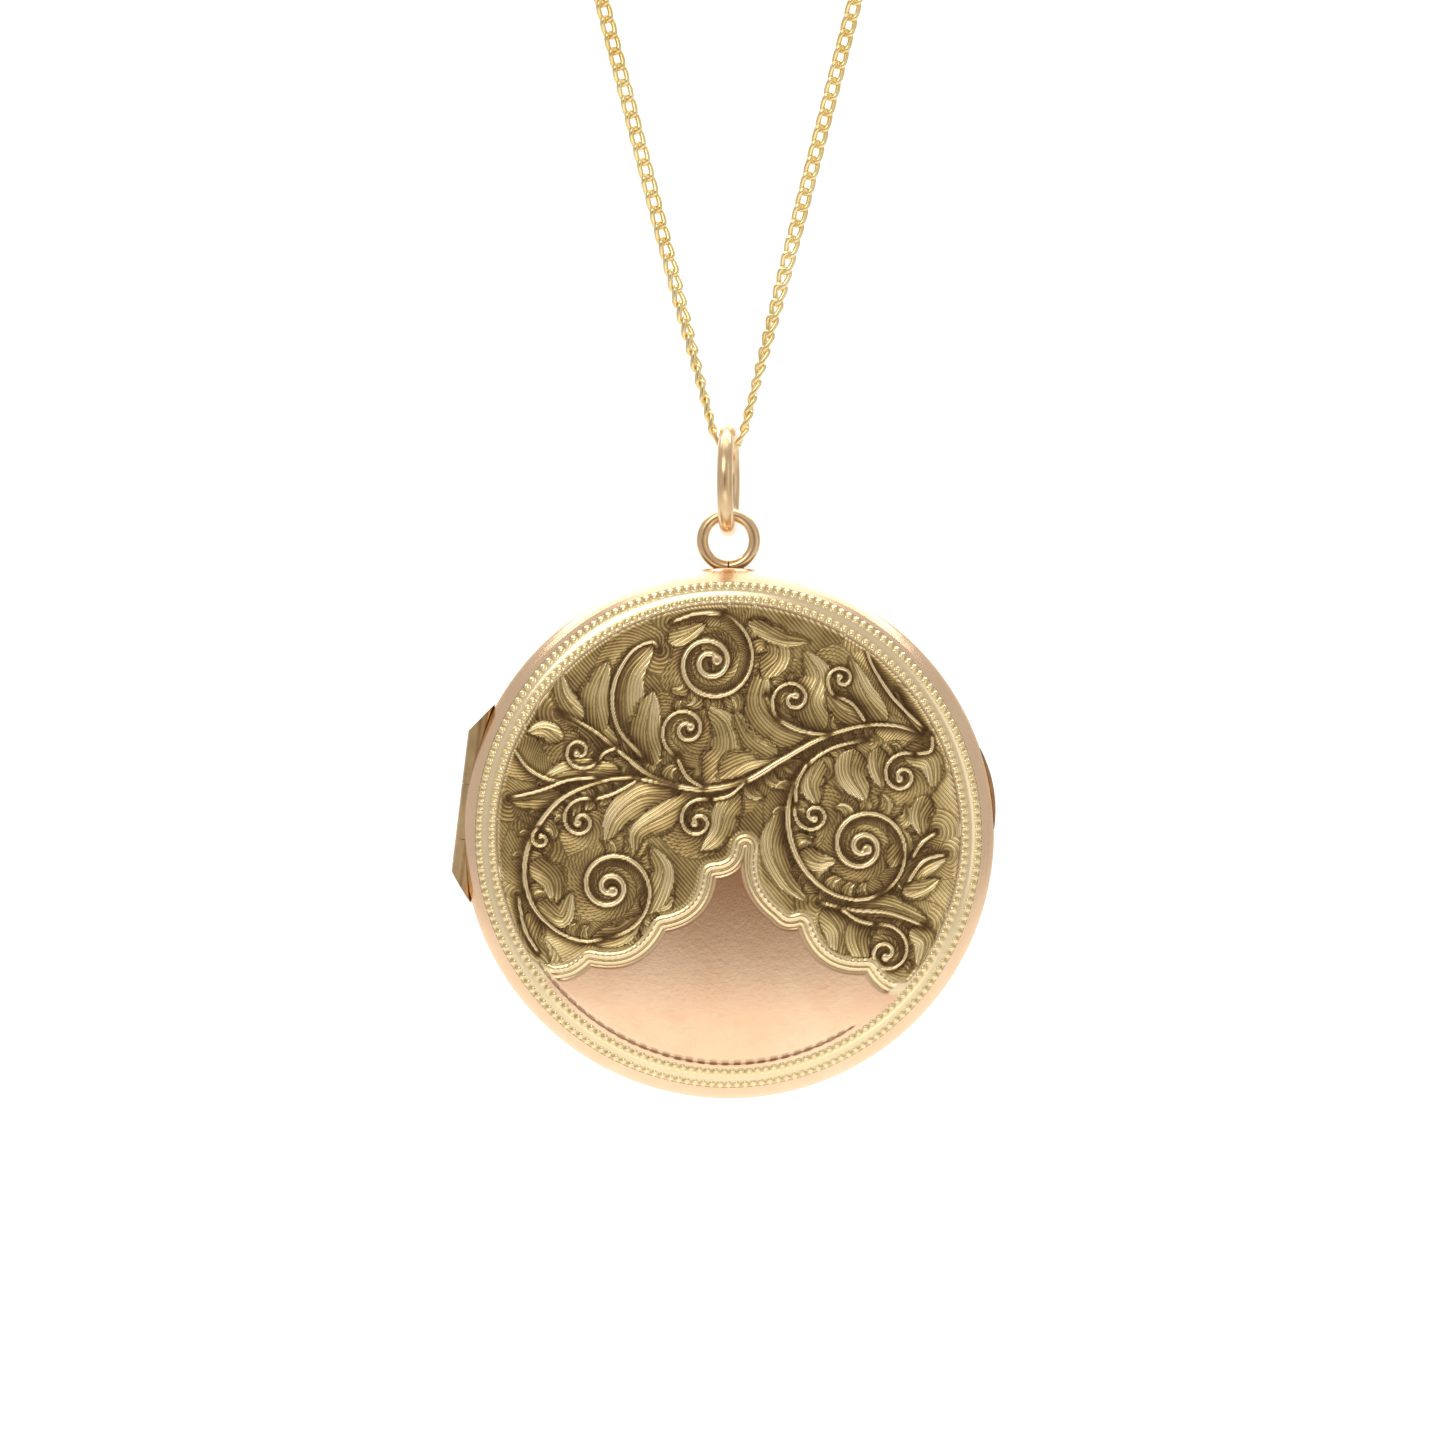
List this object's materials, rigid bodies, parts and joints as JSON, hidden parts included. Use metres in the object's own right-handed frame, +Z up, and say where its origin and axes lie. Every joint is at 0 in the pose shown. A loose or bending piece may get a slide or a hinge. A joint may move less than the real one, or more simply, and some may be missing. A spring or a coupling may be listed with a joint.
{
  "type": "locket",
  "caption": "Round hinged locket with scroll-decorated front, hanging by an eyelet and jump ring from a fine neck chain with a bolt-ring clasp.",
  "frame": {"origin": "crown of the peg that the neck chain hangs over", "axes": "+Z up, the decorated front faces -Y, +X to the wearer's left hand as seen from the front"},
  "size_m": [0.0328, 0.0071, 0.0777],
  "materials": {
    "chain_gold": "fine polished yellow gold links",
    "clasp_gold": "polished yellow gold",
    "spring_steel": "fine spring wire",
    "ring_gold": "polished gold wire with fine scratches",
    "case_gold": "worn rose gold, engraved and darkened in the hollows on the front",
    "hinge_gold": "darker gold with wear along the outer line",
    "rim_gold": "clean spun gold, fine turning marks",
    "crystal": "thin clear crystal",
    "photo_paper": "blank aged photo paper"
  },
  "bodies": {
    "chain": {"neck_chain": "chain_gold", "end_ring_left": "clasp_gold", "end_ring_right": "clasp_gold", "clasp_case": "clasp_gold", "clasp_eye": "clasp_gold", "clasp_spring": "spring_steel"},
    "clasp_slide": {"clasp_bolt": "clasp_gold", "clasp_trigger": "clasp_gold"},
    "bail": {"jump_ring": "ring_gold"},
    "back": {"eyelet": "ring_gold", "back_cover": "case_gold", "back_snap_rim": "rim_gold", "back_photo_rim": "rim_gold", "back_crystal": "crystal", "back_photo": "photo_paper", "hinge_knuckle_upper": "hinge_gold", "hinge_knuckle_lower": "hinge_gold", "hinge_pin": "hinge_gold"},
    "front": {"front_cover": "case_gold", "front_snap_rim": "rim_gold", "hinge_knuckle_centre": "hinge_gold", "thumb_lip": "case_gold", "front_photo_rim": "rim_gold", "front_crystal": "crystal", "front_photo": "photo_paper"}
  },
  "joints": [
    {"name": "clasp_bolt_slide", "type": "hinge", "parent": "chain", "child": "clasp_slide", "pos_m": [0.00646, 0, -0.00265], "axis": [0.788, 0, 0.6157], "range_deg": [0, 55], "stiffness_Nm_per_rad": 0.002, "springref_deg": -22.92},
    {"name": "bail_swing", "type": "hinge", "parent": "chain", "child": "bail", "pos_m": [0, 0, -0.03695], "axis": [1, 0, 0], "range_deg": [-50, 50]},
    {"name": "locket_swing", "type": "hinge", "parent": "bail", "child": "back", "pos_m": [0, 0, -0.04197], "axis": [0, 1, 0], "range_deg": [-60, 60]},
    {"name": "cover_hinge", "type": "hinge", "parent": "back", "child": "front", "pos_m": [-0.01548, -0.00055, -0.0584], "axis": [-0.1219, 0, -0.9925], "range_deg": [0, 130]}
  ]
}
